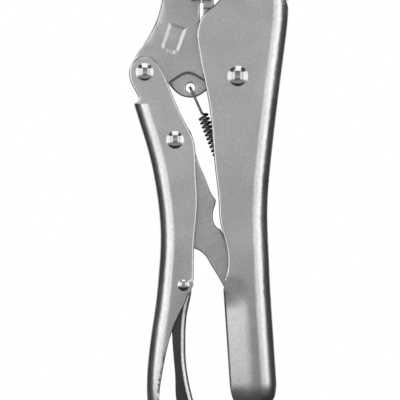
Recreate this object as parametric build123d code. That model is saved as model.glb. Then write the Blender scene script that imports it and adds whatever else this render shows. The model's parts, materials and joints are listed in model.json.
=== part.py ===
from build123d import *
import math
import os

# Locking canvas pliers, standing upright as they are held, sizes in millimetres.
# The jaws point up, +Z. The lever handle is on the -X side, and the front is the -Y side.
# Every piece is drawn round the main pivot, and the whole tool is set on its lower end last.

# Pressed steel handles
sheet = 2.2
handle_depth = 16.0
handle_bend = 7.5
slip = 0.2
overrun = 1.0
pin_clearance = 0.05
edge_reach = 0.03

# Places of the pivots: across is +X, up is +Z
lever_pin_across = -41.85
lever_pin_up = 1.8
link_pin_across = 13.65
link_pin_down = 30.5
release_pin_across = 17.45
release_pin_down = 95.7
seat_across = 4.6
seat_down = 103.3
screw_lean = 3.8

# Fixed handle: a channel from the jaws down, closed into a tube round the screw
grip_width = 40.0
grip_rise = 41.5
grip_drop = 148.5
tube_width = 21.1
tube_length = 45.3
tube_end_radius = 4.5
tube_end_wall = 2.6
tube_flat_width = 11.0
tube_flat_slope = 13.0
tube_flat_run = 10.0
tube_open_length = 3.0
seam_width = 2.4
link_way_length = 6.5

# Lever handle
lever_head_radius = 7.0
lever_head_turn = 38.0
lever_breadth = 18.0
lever_length = 160.0
lever_bend = 7.0

# Jaws
jaw_thickness = 11.2
jaw_gap = 0.3
bite_across = -16.3
plate_thickness = 4.5
plate_width = 80.0
plate_bottom = 33.4
plate_height = 45.0
plate_slot_height = 18.6
plate_corner_radius = 6.0
plate_foot_radius = 2.5
plate_tip_thickness = 2.6
plate_tip_height = 12.0
groove_pitch = 3.2
groove_depth = 0.7
groove_count = 12
weld_leg = 2.2
weld_run = 26.0
weld_bulge_share = 0.62
eye_radius = 10.2
eye_gap = 0.8
jaw_heel_share = 1.5
jaw_breadth = 50.0
jaw_ear_radius = 6.3
jaw_ear_turn = 150.0
tang_step_turn = 20.0
spring_ear_thickness = 3.2
spring_hole_radius = 2.15
spring_hole_across = -21.3
spring_hole_down = 5.2
panel_width = 8.4
panel_height = 13.2
panel_depth = 0.6
panel_wall = 1.5
panel_across = -28.9
panel_up = 16.8
panel_tilt = 19.5

# Rivets: a shank through the walls with a domed head on each side
jaw_rivet_head = 4.65
lever_rivet_head = 4.05
link_rivet_head = 4.0
release_rivet_head = 2.7
rivet_shank_share = 0.64
rivet_dome_share = 0.56

# Toggle link
link_hub_radius = 7.8
link_hub_thickness = 11.2
link_thickness = 7.6
link_breadth = 20.0
link_nose_radius = 5.0
link_hub_step = 0.6

# Release lever
release_sheet = 1.6
release_length = 62.0
release_breadth = 9.0
release_bend = 2.4

# Adjusting screw and its knob
screw_radius = 5.0
screw_pitch = 1.5
screw_thread_depth = 0.8
screw_nose_gap = 3.6
screw_nose_radius = 3.2
screw_thread_start = 16.0
insert_length = 12.0
knob_radius = 8.2
knob_length = 15.0
knob_gap = 0.8
knob_bore_depth = 9.0
knob_bevel = 1.2
knob_neck_radius = 6.4
knob_neck_length = 2.0
knurl_count = 30
knurl_depth = 0.6

# Jaw spring
spring_wire = 1.15
spring_radius = 2.0
coil_length = 1.9
spring_turns = 24
spring_first_turn = 0.125
spring_step_turn = 0.5
spring_bend_share = 0.75
spring_tail_share = 0.8
spring_start_across = -15.75
spring_start_down = 17.4
spring_lean = 21.3
spring_hook_radius = 2.3
spring_leg = 7.0
lug_thickness = 2.0
lug_hole_radius = 1.7
lug_radius = 3.2

main_pin = Vector(0, 0, 0)
lever_pin = Vector(lever_pin_across, 0, lever_pin_up)
link_pin = lever_pin + Vector(link_pin_across, 0, -link_pin_down)
release_pin = lever_pin + Vector(release_pin_across, 0, -release_pin_down)
seat = Vector(seat_across, 0, -seat_down)
inner_depth = handle_depth - 2 * sheet
lean = math.radians(screw_lean)
screw_frame = Plane(origin=seat, x_dir=(math.cos(lean), 0, math.sin(lean)),
                    z_dir=(math.sin(lean), 0, -math.cos(lean)))


def in_plane(points):
    """Points (across, up) as places in the middle plane of the tool."""
    return [Vector(across, 0, up) for across, up in points]


def bar(edges, depth):
    """A solid of an outline in the middle plane, as thick as depth and centred on that plane."""
    return extrude(make_face(edges), amount=depth / 2, both=True, dir=(0, 1, 0))


def disc(centre, radius, depth):
    """A round bar across the tool."""
    return Plane(origin=centre, x_dir=(1, 0, 0), z_dir=(0, 1, 0)) * Cylinder(radius, depth)


def on_circle(centre, radius, degrees):
    """A place on a circle in the middle plane, turned up from +X."""
    turn = math.radians(degrees)
    return centre + Vector(math.cos(turn), 0, math.sin(turn)) * radius


def edges_near(solid, places, reach):
    """The edges of a solid that pass within reach of one of the places."""
    return [e for e in solid.edges() if min(e.distance_to(p) for p in places) < reach]


def along_screw(across, down, depth=0):
    """A place in the screw's frame: across it, down along it and through the tool."""
    return screw_frame.from_local_coords(Vector(across, depth, down))


# Outline of the fixed handle, as shares of its width and of its rise or drop
front_edge_shares = [(-0.205, 0.827), (-0.26, 0.773), (-0.367, 0.69), (-0.44, 0.557), (-0.462, 0.458),
                     (-0.447, 0.328), (-0.408, 0.106)]
front_edge_drop_shares = [(-0.375, 0.012), (-0.31, 0.109), (-0.255, 0.279), (-0.2125, 0.385), (-0.2, 0.437),
                          (-0.1425, 0.501), (-0.12, 0.586)]
back_edge_rise_shares = [(0.57, 0.75), (0.54, 0.393)]
back_edge_drop_shares = [(0.47, 0.036), (0.405, 0.182), (0.35, 0.328), (0.335, 0.425), (0.3475, 0.522)]
top_edge_shares = [(-0.06, 0.925), (0.12, 0.99), (0.33, 1.0), (0.5, 0.92)]
crown_slope_share = 0.35
shoulder_share = 0.2


def handle_points(shares, length):
    """Places (across, up) from the main pivot, by shares of the handle's width and of a length."""
    return [(a * grip_width, b * length) for a, b in shares]


def handle_outline(inset, open_side):
    """The side view of the fixed handle, or of its hollow: inset is the wall left at its back and end."""
    half = tube_width / 2
    back_top = [(a - inset, b) for a, b in handle_points(back_edge_rise_shares, grip_rise)]
    back_low = [(a - inset, b) for a, b in handle_points(back_edge_drop_shares, -grip_drop)]
    tube_top_back = along_screw(half - inset, 0)
    end = tube_length - (tube_end_wall if inset else 0)
    end_back = along_screw(half - inset, end)
    end_front = along_screw(inset - half, end)
    back = Spline(*in_plane(back_top + back_low), tube_top_back, tangents=(
        (0, 0, -1), (math.sin(lean), 0, -math.cos(lean))))
    tube_back = Line(tube_top_back, end_back)
    foot = Line(end_back, end_front)
    start = Vector(back_top[0][0], 0, back_top[0][1])
    if open_side:
        seam_top = along_screw(inset - half, -tube_open_length)
        out = Vector(lever_pin_across, 0, seam_top.Z)
        over = Vector(lever_pin_across, 0, grip_rise + overrun)
        lid = Vector(start.X, 0, grip_rise + overrun)
        rest = Polyline(end_front, seam_top, out, over, lid, start)
        return [back, tube_back, foot, rest]
    shoulder = along_screw(-half, -grip_width * shoulder_share)
    rim = handle_points(front_edge_shares, grip_rise) + handle_points(front_edge_drop_shares, -grip_drop)
    edge = Spline(*in_plane(rim[::-1]))
    corner = Line(shoulder, edge @ 0)
    top = Spline(edge @ 1, *in_plane(handle_points(top_edge_shares, grip_rise)), start,
                 tangents=(edge % 1, Vector(crown_slope_share, 0, -1)))
    return [back, tube_back, foot, Line(end_front, shoulder), corner, edge, top]


def tube_flats(inset):
    """The two wedges that press the tube's sides in towards its seam."""
    slope = math.tan(math.radians(tube_flat_slope))
    left = -tube_width / 2 - overrun
    flat_start = tube_flat_width - tube_width / 2
    face = handle_depth / 2 - inset
    deep = face - (flat_start - left) * slope
    far = tube_length + overrun
    wedges = []
    for side in (-1, 1):
        places = [(left, side * deep), (flat_start + overrun / slope, side * (face + overrun)),
                  (left, side * (face + overrun))]
        ends = []
        for down in (0, far):
            corners = [along_screw(a, down, y) for a, y in places]
            ends.append(Face(Wire(Polyline(*corners, close=True).edges())))
        tip = along_screw(left, -tube_flat_run, side * face)
        ramp = Solid.make_loft([Vertex(tip), Wire(ends[0].outer_wire().edges())], ruled=True)
        wedges.append(loft(ends) + Part([ramp]))
    return wedges


def channel(inset, open_side):
    """The whole outside of the fixed handle, or its hollow, with round back corners."""
    depth = handle_depth - 2 * inset
    edges = handle_outline(inset, open_side)
    body = bar(edges, depth)
    round_edges = []
    for side in (-1, 1):
        for edge in edges[:2]:
            round_edges.append(edge @ 0.5 + Vector(0, side * depth / 2, 0))
    body = fillet(edges_near(body, round_edges, edge_reach), handle_bend - inset)
    for wedge in tube_flats(inset):
        body = body - wedge
    return body


def fixed_handle_shell():
    outside = channel(0, False)
    end_edges = []
    for edge in outside.edges():
        if abs(screw_frame.to_local_coords(edge.center()).Z - tube_length) < edge_reach:
            end_edges.append(edge)
    outside = fillet(end_edges, tube_end_radius)
    shell = outside - channel(sheet, True)
    seam = Box(2 * sheet + overrun, seam_width, 2 * tube_length)
    shell = shell - screw_frame * Pos(-tube_width / 2, 0, tube_length / 2) * seam
    link_way = Box(2 * sheet + overrun, link_thickness + 4 * slip, 2 * link_way_length)
    shell = shell - screw_frame * Pos(-tube_width / 2, 0, 0) * link_way
    mouth = Cylinder(screw_radius + knob_gap, tube_length / 2)
    shell = shell - screw_frame * Pos(0, 0, tube_length) * mouth
    return shell - disc(main_pin, jaw_rivet_head * rivet_shank_share, handle_depth + overrun)


def rivet(centre, head_radius, walls_depth):
    """A rivet across the tool with a domed head outside each wall."""
    dome = head_radius * rivet_dome_share
    ball = (head_radius ** 2 + dome ** 2) / (2 * dome)
    across = disc(Vector(0, 0, 0), head_radius * rivet_shank_share, walls_depth)
    for side in (-1, 1):
        centre_of_ball = Pos(0, side * (walls_depth / 2 + dome - ball), 0) * Sphere(ball)
        cap = Pos(0, side * (walls_depth / 2 + dome / 2), 0) * Box(3 * head_radius, dome, 3 * head_radius)
        across = across + (centre_of_ball & cap)
    return Pos(centre) * across


def handle_back_at(up):
    """How far across the middle of the back wall is, at a height on the channel."""
    places = handle_points(back_edge_rise_shares, grip_rise)
    places += handle_points(back_edge_drop_shares, -grip_drop)
    for (near, high), (far, low) in zip(places, places[1:]):
        if low <= up <= high:
            return near + (far - near) * (high - up) / (high - low) - sheet / 2


def spring_lug():
    """A tongue from the back wall with an eye for the spring's lower hook."""
    eye = spring_eye()
    root = handle_back_at(eye.Z)
    corners = [(eye.X, eye.Z + lug_radius), (root, eye.Z + lug_radius),
               (root, eye.Z - lug_radius), (eye.X, eye.Z - lug_radius)]
    lug = bar(Polyline(*in_plane(corners), close=True).edges(), lug_thickness)
    lug = lug + disc(eye, lug_radius, lug_thickness)
    return lug - disc(eye, lug_hole_radius, lug_thickness + overrun)


def fixed_handle():
    """The pressed shell with the spring's lug inside its back."""
    return fixed_handle_shell() + spring_lug()


def thread_insert(hollow):
    """The block inside the tube's end that carries the screw's thread."""
    middle = screw_frame * Pos(0, 0, tube_length - tube_end_wall - insert_length / 2)
    block = hollow & (middle * Box(tube_width, handle_depth, insert_length))
    return block - middle * Cylinder(screw_radius + pin_clearance, insert_length + overrun)


def turned(rim):
    """A solid turned round the screw's axis from places given as (away from the axis, down along it)."""
    outline = Polyline(*[Vector(a, 0, b) for a, b in rim], close=True)
    return revolve(Face(Wire(outline.edges())), axis=Axis.Z)


def adjusting_screw():
    """The screw: a nose for the link, a plain shank and a thread into the knob."""
    nose = link_nose_radius + screw_nose_gap
    end = tube_length + knob_gap + knob_bore_depth
    tip = screw_nose_radius / 2
    rim = [(0, nose), (tip, nose), (screw_nose_radius, nose + tip),
           (screw_nose_radius, nose + screw_nose_radius), (screw_radius, nose + screw_radius)]
    turns = int((end - screw_thread_start) / screw_pitch)
    for turn in range(turns):
        down = screw_thread_start + turn * screw_pitch
        rim.append((screw_radius, down))
        rim.append((screw_radius - screw_thread_depth, down + screw_pitch / 2))
    rim.append((screw_radius, screw_thread_start + turns * screw_pitch))
    rim.append((screw_radius - screw_thread_depth, end))
    rim.append((0, end))
    return screw_frame * turned(rim)


def adjusting_knob():
    """The knurled knob, bored for the screw's end."""
    top = tube_length + knob_gap
    low = top + knob_length
    rim = [(0, top), (knob_neck_radius, top), (knob_neck_radius, top + knob_neck_length),
           (knob_radius - knob_bevel, top + knob_neck_length),
           (knob_radius, top + knob_neck_length + knob_bevel), (knob_radius, low - knob_bevel),
           (knob_radius - knob_bevel, low), (0, low)]
    body = turned(rim)
    cutter = Rot(0, 0, 45) * Box(2 * knurl_depth, 2 * knurl_depth, knob_length)
    cutter = Pos(knob_radius, 0, low - knob_length / 2 + knob_neck_length) * cutter
    body = body - [Rot(0, 0, 360 * turn / knurl_count) * cutter for turn in range(knurl_count)]
    bore = Cylinder(screw_radius + pin_clearance, 2 * (knob_bore_depth + slip))
    return screw_frame * (body - Pos(0, 0, top) * bore)


# Fixed jaw: the arm's back, as shares of its distance from the main pivot and of its rise on the plate
arm_shares = [(0.8, 0.97), (0.62, 0.8), (0.49, 0.62), (0.42, 0.45), (0.46, 0.32), (0.66, 0.18), (0.8, 0.08)]
arm_foot_share = 0.8
tang_crown_shares = [(-0.16, 0.79), (0.075, 0.915), (0.35, 0.925), (0.6, 0.86)]


def grip_plane(side):
    """Where the gripping face of a jaw plate is: side 1 is the fixed jaw, -1 the movable jaw."""
    return bite_across + side * jaw_gap / 2


def jaw_plate(side):
    """A wide plate with a slot for its arm, a thinner tip and gripping grooves."""
    face = grip_plane(side)
    back = face + side * plate_thickness
    tip = face + side * plate_tip_thickness
    top = plate_bottom + plate_height
    corners = [(face, plate_bottom), (back, plate_bottom), (back, top - plate_tip_height), (tip, top),
               (face, top)]
    plate = bar(Polyline(*in_plane(corners), close=True).edges(), plate_width)
    sheet_face = Rectangle(plate_height, plate_width)
    high = sheet_face.vertices().sort_by(Axis.X)[2:]
    sheet_face = fillet(high, plate_corner_radius)
    low = sheet_face.vertices().sort_by(Axis.X)[:2]
    sheet_face = fillet(low, plate_foot_radius)
    middle = Plane(origin=(face, 0, plate_bottom + plate_height / 2), x_dir=(0, 0, 1), z_dir=(1, 0, 0))
    plate = plate & extrude(middle * sheet_face, amount=plate_thickness + overrun, both=True)
    slot = Box(3 * plate_thickness, jaw_thickness, 2 * plate_slot_height)
    plate = plate - Pos(face, 0, plate_bottom) * slot
    side_of_groove = groove_depth * math.sqrt(2)
    groove_bar = Box(side_of_groove, plate_width + overrun, side_of_groove)
    for groove in range(groove_count):
        up = top - groove_pitch * (groove + 1)
        plate = plate - Pos(face, 0, up) * Rot(0, 45, 0) * groove_bar
    return plate


def jaw_welds(side):
    """The two beads in the corners between a plate's back and its arm."""
    back = grip_plane(side) + side * plate_thickness
    low = plate_bottom + (plate_height - plate_tip_height - weld_run) / 2 + weld_leg
    beads = []
    for hand in (-1, 1):
        edge = hand * jaw_thickness / 2
        corner = Vector(back, edge, low)
        out = Vector(back + side * weld_leg, edge, low)
        along = Vector(back, edge + hand * weld_leg, low)
        bulge = corner + (out - corner + along - corner) * weld_bulge_share
        face = Face(Wire([Line(corner, out), ThreePointArc(out, bulge, along), Line(along, corner)]))
        beads.append(extrude(face, amount=weld_run, dir=(0, 0, 1)))
    return beads


def fixed_jaw(hollow):
    """The forged jaw: a tang that fills the channel above the eye, a neck and an arm behind the plate."""
    left = grip_plane(1) + jaw_gap * 2
    back = grip_plane(1) + plate_thickness
    neck = left + plate_thickness + jaw_gap
    slot_top = plate_bottom + plate_slot_height
    clear = eye_radius + eye_gap
    top = plate_bottom + plate_height
    low_left = Vector(left, 0, jaw_heel_up() + eye_gap)
    slope_end = tangent_on_eye(low_left, clear)
    right = on_circle(main_pin, clear, tang_step_turn)
    crown = on_circle(main_pin, clear, 45)
    tang_top = handle_points(tang_crown_shares, grip_rise)
    wall = Vector(grip_width, 0, 0)
    tang_edges = [Line(low_left, slope_end), ThreePointArc(slope_end, crown, right),
                  Polyline(right, wall, Vector(grip_width, 0, tang_top[-1][1]), *in_plane(tang_top[::-1]),
                           Vector(neck, 0, tang_top[0][1] - plate_thickness / 2),
                           Vector(left, 0, tang_top[0][1] - plate_thickness / 2), low_left)]
    tang = bar(tang_edges, handle_depth) & hollow
    arm_top = top - plate_thickness
    span = -back
    arm_low = plate_bottom + plate_thickness * arm_foot_share
    outer = [Vector(-a * span, 0, arm_low + b * (arm_top - arm_low)) for a, b in arm_shares]
    neck_side = Vector(neck, 0, arm_low)
    neck_foot = Vector(neck, 0, tang_top[0][1] - plate_thickness)
    left_foot = Vector(left, 0, tang_top[0][1] - plate_thickness)
    arm_edges = [Polyline(left_foot, Vector(left, 0, slot_top), Vector(back, 0, slot_top),
                          Vector(back, 0, arm_top), outer[0]),
                 Spline(*outer, neck_side), Polyline(neck_side, neck_foot, left_foot)]
    arm = bar(arm_edges, jaw_thickness)
    return tang + arm


def jaw_heel_up():
    """How high the straight part of the movable jaw's gripping side starts."""
    return eye_radius * jaw_heel_share


def tangent_on_eye(place, radius):
    """Where a line from a place left of the main pivot touches a circle round it, on the upper side."""
    distance = math.hypot(place.X, place.Z)
    turn = math.atan2(place.Z, place.X) - math.acos(radius / distance)
    return on_circle(main_pin, radius, math.degrees(turn))


# Movable jaw, as shares of its breadth and of its rise or of the eye's radius
jaw_back_shares = [(0.918, 0.121), (0.864, 0.169), (0.816, 0.217), (0.774, 0.265), (0.714, 0.361),
                   (0.674, 0.457), (0.655, 0.56), (0.62, 0.7), (0.56, 0.853), (0.505, 0.95), (0.468, 0.98)]
jaw_step_shares = [(0.19, -0.36), (0.32, -0.13), (0.44, 0.147), (0.614, -0.284), (0.72, -0.5)]
spring_ear_shares = [(0.64, -0.2), (0.6, -0.47), (0.522, -0.82), (0.44, -0.94), (0.378, -0.915),
                     (0.29, -0.665), (0.18, -0.4)]


def movable_jaw():
    """The forging: an eye for the main rivet, an ear for the lever, an ear for the spring and the arm."""
    rise = plate_height + plate_bottom - plate_thickness / 2
    left = grip_plane(-1) - plate_thickness
    grip = grip_plane(-1) - jaw_gap * 2
    slot_top = plate_bottom + plate_slot_height
    back = [Vector(-a * jaw_breadth, 0, b * rise) for a, b in jaw_back_shares]
    ear_side = on_circle(lever_pin, jaw_ear_radius, jaw_ear_turn)
    ear_foot = on_circle(lever_pin, jaw_ear_radius, -90)
    ear_left = on_circle(lever_pin, jaw_ear_radius, 180)
    step = [Vector(-a * jaw_breadth, 0, b * eye_radius) for a, b in jaw_step_shares]
    heel = Vector(grip, 0, jaw_heel_up())
    on_eye = tangent_on_eye(heel, eye_radius)
    eye_end = Vector(step[0].X, 0, -math.sqrt(eye_radius ** 2 - step[0].X ** 2))
    top = back[-1].Z
    edges = [Spline(ear_side, *back), Polyline(back[-1], Vector(left, 0, top), Vector(left, 0, slot_top),
                                               Vector(grip, 0, slot_top), heel, on_eye),
             ThreePointArc(on_eye, Vector(eye_radius, 0, 0), eye_end), Spline(eye_end, *step[1:], ear_foot),
             ThreePointArc(ear_foot, ear_left, ear_side)]
    body = bar(edges, jaw_thickness)
    ear = [Vector(-a * jaw_breadth, 0, b * eye_radius) for a, b in spring_ear_shares]
    inside = Vector((ear[0].X + ear[-1].X) / 2, 0, eye_radius / 2)
    thin = bar([Spline(*ear), Polyline(ear[-1], inside, ear[0])], spring_ear_thickness)
    body = body + thin
    body = body - disc(Vector(spring_hole_across, 0, -spring_hole_down), spring_hole_radius, jaw_thickness)
    body = body - disc(main_pin, jaw_rivet_head * rivet_shank_share + pin_clearance, handle_depth)
    body = body - disc(lever_pin, lever_rivet_head * rivet_shank_share + pin_clearance, handle_depth)
    place = Pos(panel_across, -jaw_thickness / 2, panel_up) * Rot(0, panel_tilt, 0)
    return body - place * dished_panel()


def dished_panel():
    """The shallow cut on the jaw's front, with sloping walls, square at its top and round at its foot."""
    outlines = []
    for side in (1, -1):
        inset = side * panel_wall
        outline = Rectangle(panel_width - 2 * inset, panel_height - 2 * inset)
        outline = fillet(outline.vertices().group_by(Axis.Y)[0], panel_width / 3 - inset)
        level = Plane(origin=(0, side * panel_depth, 0), x_dir=(1, 0, 0), z_dir=(0, -1, 0))
        outlines.append(level * outline)
    return loft(outlines)


# Lever handle, as shares of its breadth and of its length, from the lever rivet
lever_back_shares = [(-0.27, 0.089), (-0.086, 0.157), (0.092, 0.224), (0.23, 0.292), (0.325, 0.359),
                     (0.386, 0.427), (0.392, 0.494), (0.353, 0.562), (0.275, 0.652), (0.186, 0.719),
                     (0.108, 0.787), (0.058, 0.854), (0.053, 0.899), (0.1, 0.95), (0.27, 1.0)]
lever_tail_shares = [(0.27, 1.0), (0.36, 1.0), (0.4, 0.985), (0.364, 0.922), (0.408, 0.868), (0.475, 0.825),
                     (0.664, 0.735), (0.775, 0.7025), (0.953, 0.662), (1.086, 0.629)]
lever_front_shares = [(1.215, 0.6), (1.225, 0.569), (1.225, 0.517), (1.253, 0.4575), (1.32, 0.37),
                      (1.285, 0.28), (1.27, 0.224), (1.208, 0.187), (1.103, 0.161), (0.969, 0.133),
                      (0.797, 0.092), (0.569, 0.028)]
lever_ear_shares = [(-0.335, 0.031), (-0.217, 0.056), (-0.142, 0.072), (-0.183, 0.084), (-0.27, 0.089)]


def lever_points(shares):
    """Places from the lever rivet, by shares of the lever's breadth and of its length."""
    return [lever_pin + Vector(a * lever_breadth, 0, -b * lever_length) for a, b in shares]


def lever_back_body(inset):
    """Everything in front of the lever's back, with round corners along it."""
    places = lever_points(lever_back_shares)
    places = [p + Vector(inset, 0, 0) for p in places]
    back = Spline(*places)
    far = lever_breadth * 2
    foot = places[-1] + Vector(far, 0, 0)
    frame = Polyline(places[-1], foot, Vector(foot.X, 0, places[0].Z), places[0])
    body = bar([back, frame], handle_depth - 2 * inset)
    middles = [back @ 0.5 + Vector(0, side * (handle_depth / 2 - inset), 0) for side in (-1, 1)]
    body = fillet(edges_near(body, middles, edge_reach), lever_bend - inset)
    rise = 2 * lever_head_radius + abs(lever_pin.Z - places[0].Z)
    upper = Box(3 * lever_breadth, handle_depth - 2 * inset, rise)
    return body + Pos(lever_pin.X, 0, places[0].Z + rise / 2) * upper


def lever_handle():
    """The pressed channel: two flat ears at its top, a bowed back and three rivet holes."""
    tail = lever_points(lever_tail_shares)
    front = lever_points(lever_front_shares)
    ear = lever_points(lever_ear_shares)
    back = lever_points(lever_back_shares)
    head_right = on_circle(lever_pin, lever_head_radius, lever_head_turn)
    head_top = on_circle(lever_pin, lever_head_radius, 90)
    head_left = on_circle(lever_pin, lever_head_radius, 180)
    outline = [Spline(*back), Spline(*tail), Line(tail[-1], front[0]), Spline(*front, head_right),
               ThreePointArc(head_right, head_top, head_left), Spline(head_left, *ear[:3]),
               Polyline(*ear[2:])]
    walls = lever_back_body(0) - lever_back_body(sheet)
    lever = bar(outline, handle_depth) & walls
    rivets = ((lever_pin, lever_rivet_head), (link_pin, link_rivet_head), (release_pin, release_rivet_head))
    for pin, head in rivets:
        lever = lever - disc(pin, head * rivet_shank_share, handle_depth + overrun)
    return lever


# Toggle link, as shares of its length and breadth, from the link rivet towards the screw
link_right_shares = [(0.05, 0.345), (0.12, 0.3), (0.2, 0.275), (0.27, 0.275), (0.305, 0.265), (0.395, 0.3)]
link_notch_shares = [(0.42, 0.23), (0.47, 0.085), (0.53, 0.065), (0.553, 0.13)]
link_low_shares = [(0.845, -0.325), (0.8, -0.34), (0.7, -0.395), (0.655, -0.42), (0.615, -0.495),
                   (0.59, -0.59)]
link_heel_share = (0.55, -0.765)


def toggle_link():
    """The strut: a hub at the lever, a heel for the release lever and a round nose at the screw."""
    run = (seat - link_pin).length
    along = (seat - link_pin) / run
    across = Vector(-along.Z, 0, along.X)

    def place(share):
        return link_pin + along * share[0] * run + across * share[1] * link_breadth

    right = [place(s) for s in link_right_shares]
    notch = [place(s) for s in link_notch_shares]
    low = [place(s) for s in link_low_shares]
    nose_right = seat + across * link_nose_radius
    nose_left = seat - across * link_nose_radius
    nose_end = seat + along * link_nose_radius
    hub_right = link_pin + across * link_hub_radius
    hub_left = link_pin - across * link_hub_radius
    hub_top = link_pin - along * link_hub_radius
    edges = [Spline(hub_right, *right), Line(right[-1], notch[0]), Spline(*notch),
             Line(notch[-1], nose_right), ThreePointArc(nose_right, nose_end, nose_left),
             Spline(nose_left, *low), Polyline(low[-1], place(link_heel_share), hub_left),
             ThreePointArc(hub_left, hub_top, hub_right)]
    link = bar(edges, link_thickness)
    link = link + disc(link_pin, link_hub_radius - link_hub_step, link_hub_thickness)
    return link - disc(link_pin, link_rivet_head * rivet_shank_share + pin_clearance, handle_depth)


# Release lever, as shares of its breadth and length, from its rivet
release_right_shares = [(-0.12, -0.255), (0.15, -0.2), (0.33, -0.1), (0.41, 0.02), (0.36, 0.09),
                        (0.25, 0.16), (0.16, 0.235), (0.11, 0.32), (0.1, 0.42), (0.11, 0.52),
                        (0.16, 0.6), (0.27, 0.7), (0.42, 0.8), (0.62, 0.89), (0.85, 0.96), (0.95, 1.0)]
release_left_shares = [(0.6, 1.01), (0.3, 0.985), (-0.05, 0.94), (-0.36, 0.83), (-0.41, 0.68),
                       (-0.48, 0.545), (-0.54, 0.44), (-0.58, 0.3), (-0.57, 0.1), (-0.52, -0.08),
                       (-0.4, -0.2), (-0.25, -0.255)]


def release_points(shares, shift=0):
    """Places from the release rivet, by shares of the release lever's breadth and length."""
    return [release_pin + Vector(a * release_breadth + shift, 0, -b * release_length) for a, b in shares]


def release_lever():
    """A pressed channel, open to the lever's back, with its web where the finger pushes."""
    depth = inner_depth - 2 * slip
    right = release_points(release_right_shares)
    left = release_points(release_left_shares)
    web = Spline(*right)
    outside = bar([web, Polyline(right[-1], left[0]), Spline(*left), Line(left[-1], right[0])], depth)
    middles = [web @ 0.5 + Vector(0, side * depth / 2, 0) for side in (-1, 1)]
    far = Vector(-lever_breadth, 0, 0)
    whole = bar([web, Polyline(right[-1], right[-1] + far, right[0] + far, right[0])], depth)
    whole = fillet(edges_near(whole, middles, edge_reach), release_bend)
    inner = release_points(release_right_shares, -release_sheet)
    rest = Polyline(inner[-1], inner[-1] + far, inner[0] + far, inner[0])
    hollow = bar([Spline(*inner), rest], depth - 2 * release_sheet)
    body = (outside & whole) - hollow
    return body - disc(release_pin, release_rivet_head * rivet_shank_share + pin_clearance, handle_depth)


def spring_axis():
    """The way the spring runs, from the jaw's ear down to the lug."""
    turn = math.radians(spring_lean)
    return Vector(math.sin(turn), 0, -math.cos(turn))


def spring_start():
    """The middle of the first coil."""
    return Vector(spring_start_across, 0, -spring_start_down)


def spring_eye():
    """The middle of the lug's eye, in line with the coils."""
    run = spring_turns * coil_length + spring_leg + lug_hole_radius
    return spring_start() + spring_axis() * run


def helix_place(turn):
    """A place on the coils and the way the wire runs there, in turns from the front of the first."""
    axis = spring_axis()
    side = Vector(-axis.Z, 0, axis.X)
    front = Vector(0, -1, 0)
    angle = 2 * math.pi * turn
    place = spring_start() + axis * coil_length * turn
    place = place + (front * math.cos(angle) + side * math.sin(angle)) * spring_radius
    way = (side * math.cos(angle) - front * math.sin(angle)) * 2 * math.pi * spring_radius
    return place, (way + axis * coil_length).normalized()


def biarc(start, way_in, end, way_out):
    """Two arcs that meet smoothly, from start along way_in to end along way_out."""
    gap = end - start
    both = way_in + way_out
    spread = 2 * (1 - way_in.dot(way_out))
    reach = gap.dot(both)
    size = (math.sqrt(reach * reach + spread * gap.dot(gap)) - reach) / spread
    joint = (start + end + (way_in - way_out) * size) / 2
    return [TangentArc(start, joint, tangent=way_in), TangentArc(joint, end, tangent=(
        end - way_out * size - start - way_in * size).normalized())]


def jaw_spring():
    """The wire in one run: a hook through the jaw's ear, the coils, and a hook through the lug's eye."""
    front = Vector(0, -1, 0)
    axis = spring_axis()
    hole = Vector(spring_hole_across, 0, -spring_hole_down)
    first, first_way = helix_place(spring_first_turn)
    last, last_way = helix_place(spring_turns)
    side = Vector(-axis.Z, 0, axis.X)
    bend = spring_radius * spring_bend_share
    leg_end = Vector(first.X, 0, first.Z) - side * bend - axis * bend
    leg_way = (leg_end - hole).normalized()
    ear_edge = hole + leg_way * spring_hole_radius
    arm = front * spring_hook_radius
    tail = spring_hook_radius * spring_tail_share
    path = [Line(ear_edge + leg_way * tail - arm, ear_edge - arm),
            ThreePointArc(ear_edge - arm, ear_edge - leg_way * spring_hook_radius, ear_edge + arm),
            Line(ear_edge + arm, leg_end + arm)]
    path += biarc(leg_end + arm, leg_way, first, first_way)
    turn = spring_first_turn
    while turn < spring_turns:
        following = min(turn + spring_step_turn, spring_turns)
        path += biarc(*helix_place(turn), *helix_place(following))
        turn = following
    foot = Vector(last.X, 0, last.Z) + side * bend + axis * bend
    eye_edge = spring_eye() - axis * lug_hole_radius
    foot_way = (eye_edge - foot).normalized()
    path += biarc(last, last_way, foot + arm, foot_way)
    path += [Line(foot + arm, eye_edge + arm),
             ThreePointArc(eye_edge + arm, eye_edge + foot_way * spring_hook_radius, eye_edge - arm),
             Line(eye_edge - arm, eye_edge - foot_way * tail - arm)]
    report_spring_gap(path)
    wire = Wire(path)
    section = Plane(origin=path[0] @ 0, z_dir=path[0] % 0) * Circle(spring_wire / 2)
    return sweep(section, path=wire)


def report_spring_gap(path):
    """Prints the least gap between one stretch of the wire and another that isn't beside it."""
    steps = 12
    places = []
    run = 0
    for edge in path:
        for step in range(steps):
            places.append((run + edge.length * step / steps, edge @ (step / steps)))
        run += edge.length
    least = run
    for index, (here, place) in enumerate(places):
        for there, other in places[index + 1:]:
            if there - here > 2 * math.pi * spring_wire and (other - place).length < least:
                least = (other - place).length
    print(f"spring wire {run:.1f} mm long, least gap to itself {least - spring_wire:.2f} mm")


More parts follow.
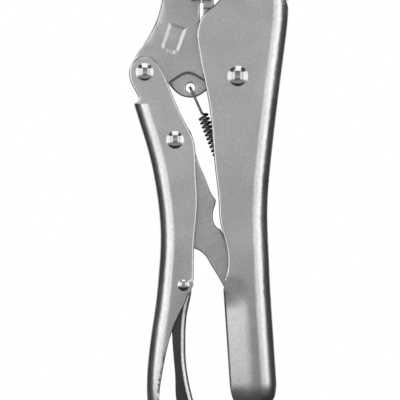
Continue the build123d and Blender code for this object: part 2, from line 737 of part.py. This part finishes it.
def build():
    """Every node by name, still round the main pivot."""
    hollow = channel(sheet, True)
    return {
        "fixed_handle": fixed_handle(),
        "fixed_jaw": fixed_jaw(hollow),
        "fixed_jaw_plate": jaw_plate(1),
        "fixed_jaw_welds": jaw_welds(1),
        "jaw_rivet": rivet(main_pin, jaw_rivet_head, handle_depth),
        "thread_insert": thread_insert(hollow),
        "adjusting_screw": adjusting_screw(),
        "adjusting_knob": adjusting_knob(),
        "movable_jaw": movable_jaw(),
        "movable_jaw_plate": jaw_plate(-1),
        "movable_jaw_welds": jaw_welds(-1),
        "lever_handle": lever_handle(),
        "lever_rivet": rivet(lever_pin, lever_rivet_head, handle_depth),
        "link_rivet": rivet(link_pin, link_rivet_head, handle_depth),
        "toggle_link": toggle_link(),
        "release_lever": release_lever(),
        "release_rivet": rivet(release_pin, release_rivet_head, handle_depth),
        "jaw_spring": jaw_spring(),
    }


def write(nodes):
    """Sets the tool on its lower end, with the origin under the middle of its box, and writes each node."""
    box = Compound(children=[s for node in nodes.values() for s in solids_of(node)]).bounding_box()
    shift = Vector(-(box.min.X + box.max.X) / 2, -(box.min.Y + box.max.Y) / 2, -box.min.Z)
    os.makedirs("parts", exist_ok=True)
    for name, node in nodes.items():
        placed = [Pos(shift) * s for s in solids_of(node)]
        export_step(placed[0] if len(placed) == 1 else Compound(children=placed), f"parts/{name}.step")
    knob_face = along_screw(0, tube_length + knob_gap + knob_length)
    for name, place in (("jaw rivet", main_pin), ("lever rivet", lever_pin), ("link rivet", link_pin),
                        ("release rivet", release_pin), ("screw seat", seat), ("spring eye", spring_eye()),
                        ("knob face", knob_face)):
        there = place + shift
        print(f"{name}: {there.X:.4f} {there.Y:.4f} {there.Z:.4f}")
    print(f"size: {box.size.X:.2f} {box.size.Y:.2f} {box.size.Z:.2f}")


def solids_of(node):
    """The separate solids of a node."""
    if isinstance(node, list):
        return [s for piece in node for s in piece.solids()]
    return list(node.solids())


if __name__ == "__main__":
    write(build())
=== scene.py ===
import json
import math
import bmesh
import bpy
from mathutils import Matrix, Vector


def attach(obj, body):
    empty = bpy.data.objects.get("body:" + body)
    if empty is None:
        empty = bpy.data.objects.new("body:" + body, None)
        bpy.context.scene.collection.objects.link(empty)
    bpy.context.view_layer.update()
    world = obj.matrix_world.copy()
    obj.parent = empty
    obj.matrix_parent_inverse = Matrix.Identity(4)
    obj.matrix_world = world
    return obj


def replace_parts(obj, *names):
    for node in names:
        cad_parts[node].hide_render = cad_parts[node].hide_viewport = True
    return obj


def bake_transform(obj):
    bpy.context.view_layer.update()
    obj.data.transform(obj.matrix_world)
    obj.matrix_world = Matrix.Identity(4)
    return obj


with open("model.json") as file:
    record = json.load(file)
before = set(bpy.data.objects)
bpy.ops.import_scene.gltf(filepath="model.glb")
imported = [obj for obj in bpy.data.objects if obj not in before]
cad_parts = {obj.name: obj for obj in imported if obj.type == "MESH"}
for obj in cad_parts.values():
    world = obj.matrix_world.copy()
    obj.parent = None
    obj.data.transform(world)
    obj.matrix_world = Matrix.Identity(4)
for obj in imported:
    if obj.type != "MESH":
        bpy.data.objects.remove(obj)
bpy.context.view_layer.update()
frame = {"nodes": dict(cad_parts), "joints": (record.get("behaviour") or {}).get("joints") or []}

MM = 0.001

# The pivots, from the frame
pivots = {joint["name"]: Vector(joint["pos_m"]) for joint in frame["joints"] if "pos_m" in joint}
JAW_PIN = pivots["jaw_hinge"]
LEVER_PIN = pivots["lever_hinge"]
LINK_PIN = pivots["link_hinge"]
RELEASE_PIN = pivots["release_hinge"]

# Other places on the tool, in metres, as the CAD model has them: the link's seat at the top of the tube and
# the middle of the jaw's dished panel
TUBE_SEAT = Vector((0.0176343, 0, 0.0614296))
PANEL_MIDDLE = Vector((-0.0157, 0, 0.1815))
# The tube's lean and width, and the depth of the handles from front to back
TUBE_TILT = math.radians(3.7)
TUBE_WIDTH = 21.1 * MM
HANDLE_DEPTH = 16 * MM

# How loose triangles become a clean mesh: what counts as one place and one plane, the slack in comparing
# places, and the corners from which a face is cut up again
SAME_PLACE = 0.002 * MM
SAME_PLANE = math.radians(0.05)
SLACK = 0.01 * MM
WIDE_FACE = 30

# Rounded edges: the steps across one, the pull of large faces on shading, and the least bend in degrees
ROUND_STEPS = 3
FACE_PULL = 50
LEAST_BEND = 27


# Small helpers

def colour(code):
    """A colour written as sRGB hex, turned to the linear values that Blender uses."""
    values = [int(code[i:i + 2], 16) / 255 for i in (1, 3, 5)]
    return [v / 12.92 if v <= 0.04045 else ((v + 0.055) / 1.055) ** 2.4 for v in values] + [1]


def add(tree, kind, inputs, **settings):
    """Adds a node, with its settings, and its inputs as values or as links from other nodes' outputs."""
    node = tree.nodes.new(kind)
    for name, value in settings.items():
        setattr(node, name, value)
    for name, value in inputs.items():
        if isinstance(value, bpy.types.NodeSocket):
            tree.links.new(value, node.inputs[name])
        else:
            node.inputs[name].default_value = value
    return node


def new_material(name):
    """An empty material and its node tree."""
    made = bpy.data.materials.new(name)
    made.use_nodes = True
    made.node_tree.nodes.clear()
    return made, made.node_tree


def merged_copy(node):
    """A copy of a CAD node's mesh, with its loose triangles joined at their corners."""
    bm = bmesh.new()
    bm.from_mesh(frame["nodes"][node].data)
    bmesh.ops.remove_doubles(bm, verts=bm.verts, dist=SAME_PLACE)
    return bm


def piece(node, bm, body, material):
    """The finished piece for a CAD node: its smooth mesh, its finish, and the body that it
    rides on or None for a piece between two bodies."""
    for face in bm.faces:
        face.smooth = True
    mesh = bpy.data.meshes.new(node + "_finish")
    bm.to_mesh(mesh)
    bm.free()
    mesh.materials.append(material)
    made = bpy.data.objects.new(node + "_finish", mesh)
    bpy.context.scene.collection.objects.link(made)
    if body:
        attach(made, body)
    return made


# Materials

# Where a noise's values mostly lie, and the width, shade and light of the slow patches in a plated surface
NOISE_LOW = 0.3
NOISE_HIGH = 0.7
PATCH_WIDTH = 16 * MM
PATCH_DARK = 0.88
PATCH_LIGHT = 1.04
# A Mix node's colour sockets, whose names aren't unique: its two inputs and its output
MIX_A = 6
MIX_B = 7
MIX_RESULT = 2


def satin_metal(name, base, rough, grain, relief, cloud, speckle):
    """Metal with a fine tumbled grain: grain is its pitch and relief its height in millimetres, cloud is how
    far the roughness drifts and speckle how far the grain's brightness does."""
    made, tree = new_material(name)
    place = add(tree, "ShaderNodeTexCoord", {}).outputs["Object"]
    fine = add(tree, "ShaderNodeTexNoise", {
        "Vector": place, "Scale": 1 / (grain * MM), "Detail": 3.0, "Roughness": 0.6})
    slow = add(tree, "ShaderNodeTexNoise", {
        "Vector": place, "Scale": 1 / PATCH_WIDTH, "Detail": 3.0, "Roughness": 0.55})

    def spread(noise, low, high):
        return add(tree, "ShaderNodeMapRange", {
            "Value": noise.outputs["Fac"], "From Min": NOISE_LOW, "From Max": NOISE_HIGH,
            "To Min": low, "To Max": high}).outputs["Result"]

    bumps = add(tree, "ShaderNodeBump", {
        "Height": fine.outputs["Fac"], "Strength": 1.0, "Distance": relief * MM})
    shade = add(tree, "ShaderNodeMath", {
        0: spread(fine, 1 - speckle, 1 + speckle), 1: spread(slow, PATCH_DARK, PATCH_LIGHT)},
        operation="MULTIPLY")
    tint = add(tree, "ShaderNodeMix", {
        "Factor": 1.0, MIX_A: colour(base), MIX_B: shade.outputs[0]},
        data_type="RGBA", blend_type="MULTIPLY")
    skin = add(tree, "ShaderNodeBsdfPrincipled", {
        "Metallic": 1.0, "Roughness": spread(slow, rough - cloud, rough + cloud),
        "Normal": bumps.outputs["Normal"], "Base Color": tint.outputs[MIX_RESULT]})
    add(tree, "ShaderNodeOutputMaterial", {"Surface": skin.outputs["BSDF"]})
    return made


# The real grains are a few tenths of a millimetre, and are drawn about a millimetre coarse so that they
# show. Satin nickel plate on pressed sheet: soft broad highlights with a fine orange-peel sparkle
satin_nickel = satin_metal(
    "satin_nickel_plate", "#cfcfcf", rough=0.30, grain=1.0, relief=0.005, cloud=0.03, speckle=0.12)
# The same plate over a forging, whose skin is a little coarser
forged_nickel = satin_metal(
    "satin_nickel_on_forging", "#c6c6c6", rough=0.33, grain=1.1, relief=0.014, cloud=0.03, speckle=0.12)
# Chromed rivet heads: small sharp reflections
rivet_chrome = satin_metal(
    "bright_chrome_rivet", "#c0c0c0", rough=0.12, grain=0.8, relief=0.002, cloud=0.01, speckle=0.03)
# Drawn spring wire: dark grey with a glossy line along each coil
spring_wire = satin_metal(
    "dark_spring_wire", "#777777", rough=0.28, grain=0.6, relief=0.003, cloud=0.03, speckle=0.10)
# Release lever's cheeks: a darker grey steel than the plate, with a dull sheen
dark_cheek_steel = satin_metal(
    "dark_grey_cheek_steel", "#5a5a5a", rough=0.34, grain=0.9, relief=0.006, cloud=0.03, speckle=0.10)
# Turned and plated steel of the screw, its insert and the knob: a finer grain than the plated sheet's
turned_steel = satin_metal(
    "turned_plated_steel", "#c4c4c4", rough=0.28, grain=0.6, relief=0.004, cloud=0.03, speckle=0.08)
# Weld beads behind the plates: rounder ripples, a touch darker
weld_skin = satin_metal(
    "plated_weld_bead", "#b9b9b9", rough=0.34, grain=1.1, relief=0.02, cloud=0.04, speckle=0.12)


# Pieces made from the CAD shapes, with rounded edges

def rounded_copy(node, body, material, width, share_of, soften=None, least_bend=LEAST_BEND):
    """A copy of a CAD node with rounded edges: share_of says how much of width an edge gets, 0 for a sharp
    edge and None for one that is only smooth. soften works on the mesh first, and edges that bend less than
    least_bend degrees are smooth."""
    bm = merged_copy(node)
    bmesh.ops.dissolve_limit(bm, angle_limit=SAME_PLANE, verts=bm.verts, edges=bm.edges)
    if soften:
        soften(bm)
    bmesh.ops.triangulate(bm, faces=[face for face in bm.faces if len(face.verts) > WIDE_FACE])
    weight = bm.edges.layers.float.new("bevel_weight_edge")
    bm.normal_update()
    for edge in bm.edges:
        share = share_of(edge) if math.degrees(edge.calc_face_angle(0)) > least_bend else None
        edge[weight] = share or 0.0
        edge.smooth = share != 0
    made = piece(node, bm, body, material)
    round_edges = made.modifiers.new("rounded edges", "BEVEL")
    round_edges.limit_method = "WEIGHT"
    round_edges.width = width
    round_edges.segments = ROUND_STEPS
    round_edges.use_clamp_overlap = False
    round_edges.loop_slide = False
    level_faces = made.modifiers.new("level faces", "WEIGHTED_NORMAL")
    level_faces.mode = "FACE_AREA"
    level_faces.weight = FACE_PULL
    level_faces.keep_sharp = True
    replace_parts(made, node)
    return made


def everywhere(edge):
    """Full rounding on every edge."""
    return 1.0


# The pressed channels of the two handles

# Shares of the rounding on a channel's outline and inside it
FULL = 1.0
INSIDE = 0.25
# An outer face looks outwards: its normal's Y times its own Y is more than this
OUTER_FACE = 0.8 * 5 * MM
# Sharp edges, in places along and across the tube: the lower end, and the left rim where the tube closes
# over the link
LOW_END = 38 * MM
RIM_TOP = -14 * MM
RIM_END = -5 * MM
RIM_WIDTH = 3 * MM
# Sharp edges on the lever handle: the notch under its eye, where the back of the channel begins
NOTCH_HEIGHT = LEVER_PIN.z - 14.24 * MM
NOTCH_REACH = 2.5 * MM
NOTCH_RIGHT = LEVER_PIN.x + 3 * MM


def in_tube(place):
    """How far a place is from the tube's left wall and below the link's seat."""
    offset = place - TUBE_SEAT
    across = offset.x * math.cos(TUBE_TILT) + offset.z * math.sin(TUBE_TILT)
    along = offset.x * math.sin(TUBE_TILT) - offset.z * math.cos(TUBE_TILT)
    return across + TUBE_WIDTH / 2, along


def on_outer_face(edge):
    """Full rounding on the outline of a channel's outer faces, little inside it, and sharp edges at its
    lower end and where the tube closes over the link."""
    places = [in_tube(vert.co) for vert in edge.verts]
    if all(along > LOW_END for across, along in places):
        return 0
    if all(across < RIM_WIDTH and RIM_TOP < along < RIM_END for across, along in places):
        return 0
    if any(face.normal.y * face.verts[0].co.y > OUTER_FACE for face in edge.link_faces):
        return FULL
    return INSIDE


def on_lever(edge):
    """As on the other channel, but sharp at the notch where the lever handle's back begins."""
    if all(abs(vert.co.z - NOTCH_HEIGHT) < NOTCH_REACH and vert.co.x < NOTCH_RIGHT for vert in edge.verts):
        return 0
    return on_outer_face(edge)


# The press of the tube's sides, from the left wall and along the tube: its shoulder with a soft blend, its
# slope, its start with a run-in, and the last place to the right that it is laid on
PRESS_EDGE = 11.0 * MM
PRESS_BLEND = 2.6 * MM
PRESS_SLOPE = math.tan(math.radians(13))
PRESS_START = -14.5 * MM
PRESS_RUN_IN = 16 * MM
PRESS_RIGHT = 14 * MM
# The net that is cut into the sides to carry the press: its top, its rows and its columns
NET_TOP = -15 * MM
NET_ROWS = 40
NET_ROW = 1.5 * MM
NET_COLUMNS = 14
NET_COLUMN = 1.1 * MM
NET_LEFT = 0.6 * MM
NET_MERGE = 0.12 * MM
NET_SLACK = 0.1 * MM
# The tube's lower end, drawn in: its start, length and depth, and the ring round the screw over which it
# grows
DRAW_START = 34.5 * MM
DRAW_LENGTH = 8 * MM
DRAW_DEPTH = 1.5 * MM
DRAW_INNER = 5 * MM
DRAW_FADE = 5.5 * MM
# What counts as a side of the tube: how squarely it looks along Y, how far out it lies, and how little it
# turns to +X. A face larger than SIDE_AREA, in square metres, is a wide side of the handle and counts too
SIDE_SQUARE = 0.86
SIDE_OUT = 0.86 * 5.4 * MM
SIDE_TURN = 0.1
SIDE_AREA = 0.001


def cut(bm, faces, axis, place):
    """Cuts faces along a plane square to an axis."""
    geom = set(faces)
    for face in faces:
        geom.update(face.edges, face.verts)
    bmesh.ops.bisect_plane(bm, geom=list(geom), dist=SLACK, plane_co=TUBE_SEAT + axis * place, plane_no=axis)


def press_depth(across, along):
    """How deep the tube's sides are pressed in, with the soft shoulders that a press tool leaves."""
    inward = PRESS_EDGE - across
    if inward < -PRESS_BLEND:
        return 0
    if inward < PRESS_BLEND:
        inward = (inward + PRESS_BLEND) ** 2 / (4 * PRESS_BLEND)
    rise = min(max((along - PRESS_START) / PRESS_RUN_IN, 0), 1)
    return inward * PRESS_SLOPE * rise * rise * (3 - 2 * rise)


def tube_sides(bm):
    """The outer faces of the tube's two sides, from the net's top down, and the handle's wide sides."""
    bm.normal_update()
    found = []
    for face in bm.faces:
        middle = face.calc_center_median()
        outward = face.normal.y * middle.y > SIDE_OUT
        if outward and abs(face.normal.y) > SIDE_SQUARE and face.normal.x < SIDE_TURN:
            if in_tube(middle)[1] > NET_TOP or face.calc_area() > SIDE_AREA:
                found.append(face)
    return found


def soft_tube_press(bm):
    """Gives the tube's pressed sides soft shoulders and draws in its lower end, on a net cut into them."""
    axis_along = Vector((math.sin(TUBE_TILT), 0, -math.cos(TUBE_TILT)))
    axis_across = Vector((math.cos(TUBE_TILT), 0, math.sin(TUBE_TILT)))
    for row in range(NET_ROWS):
        place = NET_TOP + row * NET_ROW
        drawn = place > DRAW_START - NET_SLACK
        cut(bm, bm.faces[:] if drawn else tube_sides(bm), axis_along, place)
    for column in range(NET_COLUMNS):
        below = [face for face in tube_sides(bm) if in_tube(face.calc_center_median())[1] > NET_TOP]
        cut(bm, below, axis_across, NET_LEFT + column * NET_COLUMN - TUBE_WIDTH / 2)
    # The merge depends on the order of the vertices, so they come in the mesh's own
    on_sides = {vert for face in tube_sides(bm) for vert in face.verts}
    net = [vert for vert in bm.verts if vert in on_sides and in_tube(vert.co)[1] > NET_TOP - NET_SLACK]
    bmesh.ops.remove_doubles(bm, verts=net, dist=NET_MERGE)
    for vert in {vert for face in tube_sides(bm) for vert in face.verts}:
        across, along = in_tube(vert.co)
        if along > NET_TOP + NET_SLACK and across < PRESS_RIGHT:
            vert.co.y = math.copysign(HANDLE_DEPTH / 2 - press_depth(across, along), vert.co.y)
    for vert in bm.verts:
        across, along = in_tube(vert.co)
        if along > DRAW_START:
            sideways = across - TUBE_WIDTH / 2
            away = math.hypot(sideways, vert.co.y)
            share = min(max((away - DRAW_INNER) / DRAW_FADE, 0), 1)
            pull = DRAW_DEPTH * ((along - DRAW_START) / DRAW_LENGTH) ** 2 * share / away
            vert.co -= pull * (axis_across * sideways + Vector((0, vert.co.y, 0)))


rounded_copy("fixed_handle", "handle", satin_nickel, 0.9 * MM, on_outer_face,
             soften=soft_tube_press)
rounded_copy("lever_handle", "lever", satin_nickel, 0.9 * MM, on_lever)


# The release lever. A cheek of it looks at least this squarely along Y

CHEEK_SQUARE = 0.99


def release_lever():
    """The finger lever inside the lever handle, plated on its edges and darker grey on its cheeks."""
    made = rounded_copy("release_lever", "release", satin_nickel, 0.35 * MM,
                        everywhere)
    made.data.materials.append(dark_cheek_steel)
    # The cheeks, the faces that look squarely along Y, get the darker grey steel; the edges keep the plate
    for face in made.data.polygons:
        if abs(face.normal.y) > CHEEK_SQUARE:
            face.material_index = 1


release_lever()


# The forgings: movable jaw, fixed jaw, toggle link and jaw plates

# Parts of the movable jaw: its dished panel, its ear for the spring, the eye for the lever handle, its arm
PANEL_REACH = 8.7 * MM
EAR_LEFT = -21 * MM
EAR_RIGHT = 9 * MM
EAR_LOW = 152 * MM
EAR_HIGH = 170 * MM
EYE_REACH = 12 * MM
ARM_START = 190 * MM
ARM_END = 230 * MM
# The least bend of a rounded edge and of an outline on the jaw, in degrees, and the outline's share of
# rounding
JAW_LEAST_BEND = 15
OUTLINE_BEND = 40
OUTLINE_SHARE = 0.5
# How squarely the jaw's flat sides look along Y, and the width and depth of the fall at their outline
FLAT = 0.999
FALL_WIDTH = 1.1 * MM
FALL_DEPTH = 0.55 * MM


def away_from(place, vert):
    """How far a vertex is from a place, as seen from the front."""
    return math.hypot(vert.co.x - place.x, vert.co.z - place.z)


def in_panel(vert):
    """Whether a vertex belongs to the jaw's dished panel."""
    return away_from(PANEL_MIDDLE, vert) < PANEL_REACH


def by_ear(vert):
    """Whether a vertex is on or beside the jaw's ear for the spring."""
    return EAR_LEFT < vert.co.x < EAR_RIGHT and EAR_LOW < vert.co.z < EAR_HIGH


def on_jaw(edge):
    """Full rounding at the step to the spring's ear and half on the jaw's outline, but a crisp dished panel,
    and crisp edges under the lever handle's eye and at the arm's upper end."""
    if any(away_from(LEVER_PIN, vert) < EYE_REACH or vert.co.z > ARM_END for vert in edge.verts):
        return 0
    if math.degrees(edge.calc_face_angle(0)) < OUTLINE_BEND:
        return 0 if all(in_panel(vert) for vert in edge.verts) else None
    return FULL if all(by_ear(vert) for vert in edge.verts) else OUTLINE_SHARE


def rolled_outline(bm):
    """Lets the flat sides of the jaw fall away at their outline, as a trimmed forging does."""
    bm.normal_update()
    level = max(abs(vert.co.y) for vert in bm.verts if vert.co.z < ARM_START)

    def on_side(face):
        return abs(face.normal.y) > FLAT and all(abs(vert.co.y) > level - SLACK for vert in face.verts)

    bmesh.ops.triangulate(bm, faces=[face for face in bm.faces if on_side(face)])
    sides = [face for face in bm.faces if on_side(face)]
    ring = bmesh.ops.inset_region(bm, faces=sides, thickness=FALL_WIDTH, use_even_offset=True,
                                  use_boundary=True)
    level_faces = set(sides + ring["faces"])
    outline = {vert for face in ring["faces"] for edge in face.edges
               if not all(beside in level_faces for beside in edge.link_faces) for vert in edge.verts}
    for vert in outline:
        if not by_ear(vert) and not in_panel(vert):
            vert.co.y -= math.copysign(FALL_DEPTH, vert.co.y)


rounded_copy("fixed_jaw", "handle", forged_nickel, 0.5 * MM, everywhere)
rounded_copy("movable_jaw", "jaw", forged_nickel, 0.8 * MM, on_jaw,
             soften=rolled_outline, least_bend=JAW_LEAST_BEND)
rounded_copy("toggle_link", "link", forged_nickel, 0.7 * MM, everywhere)
rounded_copy("fixed_jaw_plate", "handle", forged_nickel, 0.25 * MM, everywhere)
rounded_copy("movable_jaw_plate", "jaw", forged_nickel, 0.25 * MM, everywhere)


# Rivets

# Shares of the head's radius: the dome's height, the shank and the foot of the rim
DOME_SHARE = 0.34
SHANK_SHARE = 0.64
RIM_FOOT_SHARE = 0.985
# The rim's height and how far inside it the dome starts
RIM_HEIGHT = 0.1 * MM
DOME_INSET = 0.02 * MM
DOME_STEPS = 12
RIVET_SIDES = 64
RIVET_MERGE = 0.004 * MM
SHARP_RIM = math.radians(40)


def rivet(node, body, pin, head):
    """A rivet by turning its half outline: a shank, and on each side a domed head with a small upset rim."""
    dome = head * DOME_SHARE
    wall = HANDLE_DEPTH / 2
    shank = head * SHANK_SHARE
    ball = (head ** 2 + dome ** 2) / (2 * dome)
    bm = bmesh.new()
    line = [(shank, 0), (shank, wall), (head * RIM_FOOT_SHARE, wall), (head, wall + RIM_HEIGHT)]
    start = math.asin((head - DOME_INSET) / ball)
    for step in range(1, DOME_STEPS + 1):
        turn = start * (1 - step / DOME_STEPS)
        line.append((ball * math.sin(turn), wall + dome - ball + ball * math.cos(turn)))
    verts = [bm.verts.new((pin.x + away, -along, pin.z)) for away, along in line]
    edges = [bm.edges.new(pair) for pair in zip(verts, verts[1:])]
    bmesh.ops.spin(bm, geom=verts + edges, cent=pin, axis=(0, 1, 0), angle=2 * math.pi, steps=RIVET_SIDES,
                   use_merge=True)
    bmesh.ops.remove_doubles(bm, verts=bm.verts, dist=RIVET_MERGE)
    bmesh.ops.mirror(bm, geom=bm.verts[:] + bm.edges[:] + bm.faces[:], axis="Y", merge_dist=SAME_PLACE)
    bmesh.ops.remove_doubles(bm, verts=bm.verts, dist=SAME_PLACE)
    bmesh.ops.recalc_face_normals(bm, faces=bm.faces)
    for edge in bm.edges:
        if len(edge.link_faces) == 2 and edge.calc_face_angle() > SHARP_RIM:
            edge.smooth = False
    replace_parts(piece(node, bm, body, rivet_chrome), node)


rivet("jaw_rivet", "handle", JAW_PIN, 4.65 * MM)
rivet("lever_rivet", "lever", LEVER_PIN, 4.05 * MM)
rivet("link_rivet", "lever", LINK_PIN, 4.0 * MM)
rivet("release_rivet", "lever", RELEASE_PIN, 2.7 * MM)


# The spring

def jaw_spring():
    """The spring again, as a merged copy that rides on no single body, with one hook in the handle's lug and
    the other in the jaw's ear."""
    made = piece("jaw_spring", merged_copy("jaw_spring"), None, spring_wire)
    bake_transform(made)
    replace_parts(made, "jaw_spring")


jaw_spring()


# CAD nodes that stay, with their finish

def finish_node(node, material):
    """Gives a CAD node that stays its own finish."""
    slots = frame["nodes"][node].material_slots
    for slot in slots:
        slot.material = material
    if not slots:
        frame["nodes"][node].data.materials.append(material)


for node in ("adjusting_screw", "thread_insert", "adjusting_knob"):
    finish_node(node, turned_steel)
for node in ("fixed_jaw_welds", "movable_jaw_welds"):
    finish_node(node, weld_skin)


# The studio: background, floor, cards and lamps, in metres

UP = Vector((0, 0, 1))
# What the lamps point at, and how far from the tool's middle the standing cards are
AIM = Vector((-0.004, 0, 0.11))
NEAR = 0.45
FLOOR_RADIUS = 1.1
FLOOR_SIDES = 96
# The share of the floor that is plain white to the camera: the rest of it shows the shadow
FLOOR_WHITE = 0.5


def background():
    """A white studio for what the camera and the metal see, and plain grey light on everything else."""
    world = bpy.data.worlds.new("studio")
    bpy.context.scene.world = world
    world.use_nodes = True
    world.cycles.sampling_method = "NONE"
    tree = world.node_tree
    tree.nodes.clear()
    ray = add(tree, "ShaderNodeLightPath", {})
    seen = add(tree, "ShaderNodeMath", {
        0: ray.outputs["Is Camera Ray"], 1: ray.outputs["Is Glossy Ray"]}, operation="MAXIMUM")
    seen = add(tree, "ShaderNodeMath", {
        0: seen.outputs[0], 1: ray.outputs["Is Transmission Ray"]}, operation="MAXIMUM")
    plain = add(tree, "ShaderNodeBackground", {"Color": colour("#e6e6e6"), "Strength": 0.6})
    white = add(tree, "ShaderNodeBackground", {"Color": (1, 1, 1, 1), "Strength": 1.0})
    both = add(tree, "ShaderNodeMixShader", {0: seen.outputs[0], 1: plain.outputs[0], 2: white.outputs[0]})
    add(tree, "ShaderNodeOutputWorld", {"Surface": both.outputs[0]})


def floor():
    """A round pale floor that is near white to the camera and keeps the tool's shadow."""
    bm = bmesh.new()
    bmesh.ops.create_circle(bm, cap_ends=True, radius=FLOOR_RADIUS, segments=FLOOR_SIDES)
    mesh = bpy.data.meshes.new("floor")
    bm.to_mesh(mesh)
    bm.free()
    made, tree = new_material("pale_floor")
    ray = add(tree, "ShaderNodeLightPath", {})
    share = add(tree, "ShaderNodeMath", {
        0: ray.outputs["Is Camera Ray"], 1: FLOOR_WHITE}, operation="MULTIPLY")
    matt = add(tree, "ShaderNodeBsdfDiffuse", {"Color": colour("#f2f2f2")})
    white = add(tree, "ShaderNodeEmission", {"Color": (1, 1, 1, 1), "Strength": 1.0})
    both = add(tree, "ShaderNodeMixShader", {0: share.outputs[0], 1: matt.outputs[0], 2: white.outputs[0]})
    add(tree, "ShaderNodeOutputMaterial", {"Surface": both.outputs[0]})
    mesh.materials.append(made)
    ground = bpy.data.objects.new("floor", mesh)
    bpy.context.scene.collection.objects.link(ground)


def heading(degrees, height, away):
    """A place round the tool: degrees from the front towards +X, at a height, away from its middle."""
    turn = math.radians(degrees)
    return Vector((math.sin(turn) * away, -math.cos(turn) * away, height))


def card(name, place, facing, width, height, strength, across=None, upward=None):
    """A plain card that only the metal sees: facing is where it looks, strength how light it is. across and
    upward are the greys at evenly spaced places over it, for a card that is graded."""
    bm = bmesh.new()
    bm.loops.layers.uv.new("UVMap")
    bmesh.ops.create_grid(bm, x_segments=1, y_segments=1, size=0.5, calc_uvs=True)
    bmesh.ops.scale(bm, vec=(width, height, 1), verts=bm.verts)
    turn = facing.to_track_quat("Z", "Y").to_matrix().to_4x4()
    bmesh.ops.transform(bm, matrix=Matrix.Translation(place) @ turn, verts=bm.verts)
    mesh = bpy.data.meshes.new(name)
    bm.to_mesh(mesh)
    bm.free()
    made, tree = new_material(name)
    lit = add(tree, "ShaderNodeEmission", {"Color": (1, 1, 1, 1), "Strength": strength})
    greys = across or upward
    if greys:
        place_on = add(tree, "ShaderNodeUVMap", {})
        split = add(tree, "ShaderNodeSeparateXYZ", {"Vector": place_on.outputs["UV"]})
        ramp = add(tree, "ShaderNodeValToRGB", {"Fac": split.outputs["X" if across else "Y"]})
        ramp.color_ramp.interpolation = "EASE"
        stops = ramp.color_ramp.elements
        for inner in range(1, len(greys) - 1):
            stops.new(inner / (len(greys) - 1))
        for stop, grey in zip(stops, greys):
            stop.color = (grey, grey, grey, 1)
        tree.links.new(ramp.outputs["Color"], lit.inputs["Color"])
    add(tree, "ShaderNodeOutputMaterial", {"Surface": lit.outputs[0]})
    mesh.materials.append(made)
    board = bpy.data.objects.new(name, mesh)
    bpy.context.scene.collection.objects.link(board)
    board.visible_camera = board.visible_diffuse = board.visible_shadow = board.visible_transmission = False


def lamp(name, place, size, power):
    """A soft square lamp that lights the floor and whatever isn't metal."""
    light = bpy.data.lights.new(name, "AREA")
    light.size = size
    light.energy = power
    made = bpy.data.objects.new(name, light)
    made.location = place
    made.rotation_euler = (place - AIM).to_track_quat("Z", "Y").to_euler()
    bpy.context.scene.collection.objects.link(made)
    made.visible_camera = made.visible_glossy = False


def front_and_back_cards():
    """A graded grey card before and behind the tool, and one on the floor below each, for the flat faces."""
    for degrees in (0, 180):
        card("grey_card", heading(degrees, 0.25, NEAR), -heading(degrees, 0, NEAR), width=0.32, height=0.54,
             strength=0.75, upward=(0.1, 0.42, 0.95, 0.7, 0.55, 0.45, 0.4, 0.4))
        card("grey_card_low", heading(degrees, 0, 0.31) + UP * 0.003, UP, width=0.50, height=0.34,
             strength=0.5, upward=(1.0, 0.75, 0.3) if degrees == 0 else (0.3, 0.75, 1.0))


def side_cards():
    """White boxes and a low card on each side for the rounded strips, a black flag for the dark bands."""
    for side in (-1, 1):
        greys = (0.4, 0.62, 0.85, 1.0) if side > 0 else (1.0, 0.95, 0.85, 0.45)
        card("white_box_inner", heading(side * 30, 0.16, NEAR), -heading(side * 30, 0, NEAR), width=0.17,
             height=0.44, strength=1.75, across=greys)
        card("white_box_outer", heading(side * 56, 0.16, NEAR), -heading(side * 56, 0, NEAR), width=0.26,
             height=0.44, strength=1.8)
        card("white_card_low", heading(side * 48, 0.002, 0.48), UP, width=0.26, height=0.26, strength=1.0)
        card("black_flag", heading(side * 110, 0.13, NEAR), -heading(side * 110, 0, NEAR), width=0.72,
             height=0.26, strength=0.05)


def studio():
    """Background, floor, lamps, the cards round the tool, a white box above and dark cards over and under."""
    background()
    floor()
    lamp("lamp_left", Vector((-1.2, -1.2, 1.4)), size=1.2, power=22)
    lamp("lamp_right", Vector((1.2, -1.2, 1.4)), size=1.2, power=22)
    lamp("lamp_back", Vector((0, 1.4, 1.6)), size=1.2, power=14)
    front_and_back_cards()
    side_cards()
    card("white_box_top", heading(0, 0.70, 0.40), Vector((0, 0.42, -0.58)), width=0.50, height=0.38,
         strength=1.9)
    card("dark_card_high", UP * 0.95, -UP, width=2.2, height=2.2, strength=0.12)
    card("black_card_low", UP * 0.001, UP, width=0.9, height=0.9, strength=0.05)


# The camera stands before the middle of what the photo shows. Its lens and film are in millimetres
CAMERA_PLACE = Vector((-3.93 * MM, -6.0, 109.06 * MM))
CAMERA_LENS = 1200
CAMERA_FILM = 36
CAMERA_REACH = 20


def camera():
    """The photo's view: level, from the front and far away."""
    lens = bpy.data.cameras.new("camera")
    lens.lens = CAMERA_LENS
    lens.sensor_width = CAMERA_FILM
    lens.clip_end = CAMERA_REACH
    made = bpy.data.objects.new("camera", lens)
    made.location = CAMERA_PLACE
    made.rotation_euler = (math.radians(90), 0, 0)
    bpy.context.scene.collection.objects.link(made)
    bpy.context.scene.camera = made


camera()
studio()
bpy.context.scene.view_settings.view_transform = "Standard"
